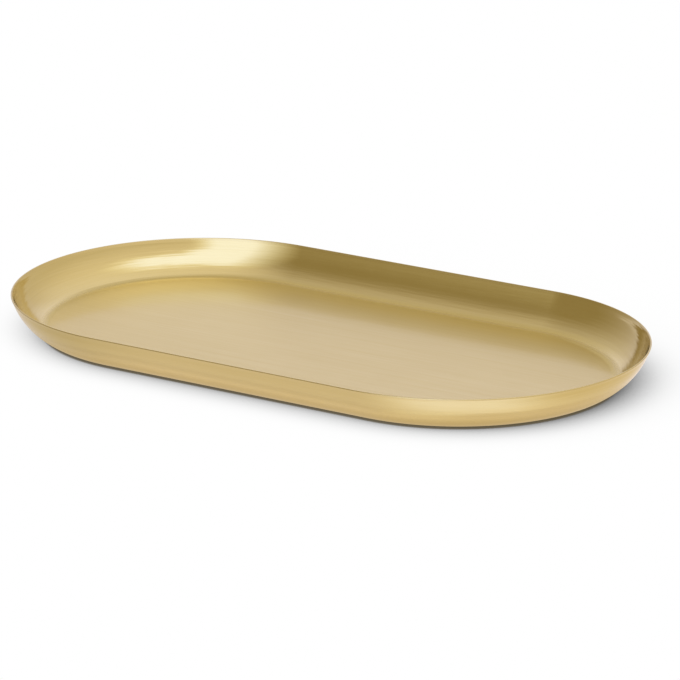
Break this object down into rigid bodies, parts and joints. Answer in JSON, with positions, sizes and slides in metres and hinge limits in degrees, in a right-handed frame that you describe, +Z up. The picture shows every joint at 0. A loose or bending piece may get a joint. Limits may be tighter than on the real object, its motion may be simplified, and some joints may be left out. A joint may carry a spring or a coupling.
{
  "type": "oval serving tray",
  "caption": "Oval brushed brass serving tray with straight sides, round ends, a flat floor and a low flared wall, on small rubber feet.",
  "frame": {"origin": "middle of the tray, on the surface that its feet stand on", "axes": "+X along the tray's length, +Y across it, +Z up out of the open top"},
  "size_m": [0.41, 0.229, 0.0235],
  "materials": {
    "brushed_brass": "brushed, satin",
    "foot_rubber": "matte"
  },
  "bodies": {
    "root": {"tray_shell": "brushed_brass", "foot_front_left": "foot_rubber", "foot_back_left": "foot_rubber", "foot_front_right": "foot_rubber", "foot_back_right": "foot_rubber"}
  },
  "joints": []
}
